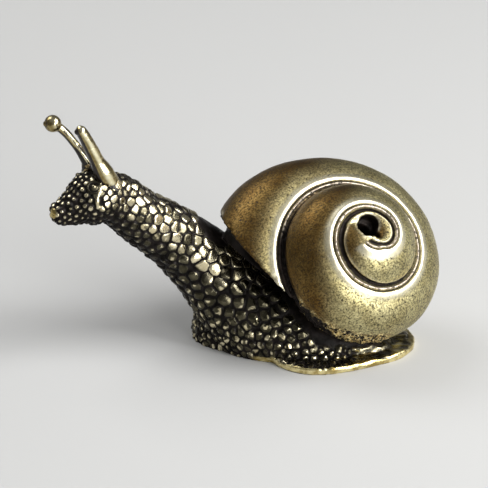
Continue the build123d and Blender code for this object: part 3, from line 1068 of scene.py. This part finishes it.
def body_polish(points, at, scale):
    """Where the body is bright: the rubbed scales, which also get a painted highlight on their lit side,
    spots, the domes on the head, rim and ridges.
    """
    x = points[:, 0]
    spots = smoothstep(0.2 - 0.15 * at.low, 0.5 - 0.15 * at.low, grain(points, 0.6, 21))
    spots = spots * smoothstep(0.6, 0.9, scale.dome) * scale.share
    tops = smoothstep(0.9, 1.0, scale.dome) * scale.share
    domes = smoothstep(0.65, 0.95, scale.dome) * scale.share
    rubbed = smoothstep(*rim_rubbed_x_ends, x) * smoothstep(-0.35, 0.15, grain(points, 1.6, 23))
    polish_and_highlight = np.maximum.reduce([
        # Painted highlight on the lit scales and on the tops of lit domes, besides the rubbing
        at.worn * scale.shine,
        0.75 * spots * (1 + 0.4 * at.low),
        tops * (0.12 + 0.5 * at.lit * scale.shine),
        domes * (0.35 + 0.6 * scale.shine) * smoothstep(*head_x_ends, x),
        at.rim * (0.2 + 0.42 * rubbed),
        0.2 * at.nose,
        0.8 * at.ridge,
        0.3 * smoothstep(0.4, 0.15, at.eyes),
        0.4 * at.tail * smoothstep(0.05, 0.4, at.wrinkle),
    ])
    return polish_and_highlight * (1 - at.mantle)


def body_piece(shell_tree):
    """The body with its scales, eyes, nose, smooth mantle, wrinkled tail and rubbed foot edge."""
    mesh = even_mesh("body_casting", body_voxel)
    relax(mesh, 6)
    points = points_of(mesh)
    normals = normals_of(mesh)
    at = body_zones(points, normals, distance_to(shell_tree, points, shell_reach))
    fine_noise = grain(points, 0.7, 6)
    scale = body_scales(points, at, fine_noise)
    height = body_relief(points, at, scale, fine_noise)
    moved = points + normals * height[:, None]
    moved[:, 2] = np.maximum(moved[:, 2], 0)
    move_points(mesh, moved)
    golden = np.maximum(at.rim * smoothstep(*rim_gold_x_ends, points[:, 0]), 0.8 * at.nose)
    keep_value(mesh, "patina", blurred(mesh, body_patina(normals, at, scale)))
    keep_value(mesh, "polish_and_highlight", body_polish(points, at, scale))
    keep_value(mesh, "gold", golden * (1 - at.mantle))
    add_piece("body", mesh, body_material(), "body_brass", "body_casting")


# Eye stalks

def stalk_frame(points, foot, tip):
    """How far each point is along a stalk, to its side and to its front, in millimetres."""
    foot = np.array(foot)
    way = np.array(tip) - foot
    way /= np.linalg.norm(way)
    away = points - foot
    side = np.cross(way, [0, 0, 1.0])
    side /= np.linalg.norm(side)
    front = np.cross(side, way)
    return away @ way, away @ side, away @ front


def stalk_piece(name, node, foot, tip, furrow_depth, shade, flare):
    """One eye stalk, with furrows along its wire, a wider foot and a small bump at its tip."""
    mesh = even_mesh(node, stalk_voxel)
    relax(mesh, 4)
    points = points_of(mesh)
    normals = normals_of(mesh)
    run, side, front = stalk_frame(points, foot, tip)
    drawn = np.stack([run * 0.16, side, front], axis=1)
    furrow = grain(drawn, 0.42, 9)
    length = np.linalg.norm(np.array(tip) - np.array(foot))
    ball = np.zeros(len(points))
    if name == "right_stalk":
        ball = smoothstep(length - ball_length, length - ball_length + ball_neck, run)
    bump = np.linalg.norm(points - tip_bumps[name], axis=1)
    height = furrow_depth * furrow * (1 - ball) + 0.02 * grain(points, 0.5, 10)
    height += tip_bump_height * smoothstep(0.5, 0.1, bump)
    height -= tip_ring_depth * bump_at(bump, tip_ring_radius, 0.1)
    height += flare * smoothstep(*stalk_flare_ends, run)
    move_points(mesh, points + normals * height[:, None])
    # Painted shade on the side turned away from the light, with more of it toward the foot, and a painted
    # highlight on the lit side
    shaded_side = normals @ stalk_shade_direction
    foot_shade = smoothstep(0.0, 0.5, shaded_side - 0.3 * furrow + shade - 0.5)
    patina = np.maximum.reduce([
        smoothstep(0.0, 0.3, -furrow) * shade * (1 - ball),
        smoothstep(0.2, 0.5, shaded_side + 0.2 * furrow) * (0.95 - 0.5 * ball),
        bump_at(bump, tip_ring_radius, 0.12) * 0.8,
        smoothstep(*stalk_shade_ends, run) * foot_shade,
    ])
    polish_and_highlight = smoothstep(-0.1, 0.3, -shaded_side + 0.15 * furrow) * smoothstep(0.9, 0.45, normals[:, 0])
    keep_value(mesh, "patina", blurred(mesh, patina))
    keep_value(mesh, "polish_and_highlight", polish_and_highlight * (1 - 0.55 * ball))
    add_piece(name, mesh, stalk_material(), "stalk_brass", node)


# Solder

def solder_piece(name, node, material, roughness, polish_and_highlight):
    """A lumpy crust of solder, streaked and given painted shade on its shaded side on the left collar, and
    dark on the right one.
    """
    mesh = even_mesh(node, solder_voxel)
    relax(mesh, 2)
    points = points_of(mesh)
    normals = normals_of(mesh)
    lumps = grain(points, 0.55, 11)
    height = roughness * lumps + roughness * 0.5 * grain(points, 0.3, 12)
    move_points(mesh, points + normals * height[:, None])
    patina = smoothstep(0.0, 0.5, -lumps)
    if name == "left_solder":
        run, side, front = stalk_frame(points, left_stalk_foot, left_stalk_tip)
        streaks = grain(np.stack([run * 0.15, side, front], axis=1), 0.3, 22)
        patina = np.maximum.reduce([
            smoothstep(0.3, 0.6, -streaks),
            # Painted shade on the side of the collar turned away from the light
            smoothstep(0.3, 0.8, normals @ collar_shade_direction),
            smoothstep(*collar_low_ends, run) * smoothstep(0.14, -0.1, lumps),
        ])
    if name == "right_solder":
        patina = smoothstep(-0.5, 0.1, -lumps)
    keep_value(mesh, "patina", patina)
    keep_value(mesh, "polish_and_highlight", np.full(len(points), polish_and_highlight))
    add_piece(name, mesh, material, "solder", node)


shell_piece()
body_piece(tree_of(even_mesh("shell_casting", rough_voxel)))
left_look = {"furrow_depth": 0.045, "shade": 0.4, "flare": 0.38}
right_look = {"furrow_depth": 0.07, "shade": 0.95, "flare": 0.1}
stalk_piece("left_stalk", "left_eye_stalk", left_stalk_foot, left_stalk_tip, **left_look)
stalk_piece("right_stalk", "right_eye_stalk", right_stalk_foot, right_stalk_tip, **right_look)
solder = solder_material()
solder_piece("seam_solder", "shell_solder", solder, roughness=0.12, polish_and_highlight=0.15)
solder_piece("left_solder", "left_stalk_solder", solder, roughness=0.07, polish_and_highlight=0.45)
solder_piece("right_solder", "right_stalk_solder", solder, roughness=0.06, polish_and_highlight=0.1)


# Floor, light and camera

def plain_material(name, shade):
    """A matt grey."""
    material = bpy.data.materials.new(name)
    material.use_nodes = True
    shader = material.node_tree.nodes["Principled BSDF"]
    shader.inputs["Base Color"].default_value = (shade, shade, shade * 0.985, 1)
    shader.inputs["Roughness"].default_value = 0.9
    shader.inputs["Specular IOR Level"].default_value = 0.1
    return material


def sweep_floor():
    """A floor that curves up into a backdrop, in metres."""
    half = 1.2
    front = -1.2
    back = 0.9
    bend = 0.5
    wall = 1.2
    bend_steps = 12
    profile = [(front, 0.0), (back, 0.0)]
    for step in range(1, bend_steps + 1):
        angle = math.radians(90 * step / bend_steps)
        profile.append((back + bend * math.sin(angle), bend * (1 - math.cos(angle))))
    profile.append((back + bend, bend + wall))
    made = bmesh.new()
    rows = []
    for y, z in profile:
        rows.append([made.verts.new((x, y, z)) for x in (-half, half)])
    for low, high in zip(rows, rows[1:]):
        made.faces.new((low[0], low[1], high[1], high[0]))
    mesh = mesh_from("floor", made)
    mesh.shade_smooth()
    mesh.materials.append(plain_material("pale_paper", floor_shade))
    floor = add_object("floor", mesh)


def softbox(name, direction, distance, size, power):
    """A square lamp that shines on the snail from a direction, in metres and watts."""
    lamp = bpy.data.lights.new(name, "AREA")
    lamp.shape = "SQUARE"
    lamp.size = size
    lamp.energy = power
    holder = add_object(name, lamp)
    away = Vector(direction).normalized()
    holder.location = Vector(lamp_target) + away * distance
    holder.rotation_mode = "QUATERNION"
    holder.rotation_quaternion = away.to_track_quat("Z", "Y")


sweep_floor()
softbox("key", (0.66, -0.18, 0.73), distance=0.55, size=0.34, power=3.6)
softbox("right", (0.86, -0.33, 0.40), distance=0.6, size=0.3, power=1.15)
softbox("side", (0.62, -0.74, 0.26), distance=0.6, size=0.34, power=2.4)
softbox("back", (-0.50, 0.35, 0.78), distance=0.6, size=0.34, power=1.6)

world = bpy.data.worlds.new("studio")
scene.world = world
world.use_nodes = True
backdrop = world.node_tree.nodes["Background"]
backdrop.inputs["Color"].default_value = (1.0, 1.0, 1.0, 1.0)
backdrop.inputs["Strength"].default_value = room_light

camera_data = bpy.data.cameras.new("camera")
camera_data.angle = 2 * math.atan(view_half_width / camera_distance)
camera_data.clip_start = 0.01
camera_data.clip_end = 10
camera = add_object("camera", camera_data)
tilt = math.radians(camera_elevation)
toward = Vector((0, -math.cos(tilt), math.sin(tilt)))
camera.location = (camera_target + toward * camera_distance) * millimetre
camera.rotation_mode = "QUATERNION"
camera.rotation_quaternion = toward.to_track_quat("Z", "Y")
scene.camera = camera
scene.view_settings.view_transform = "Standard"
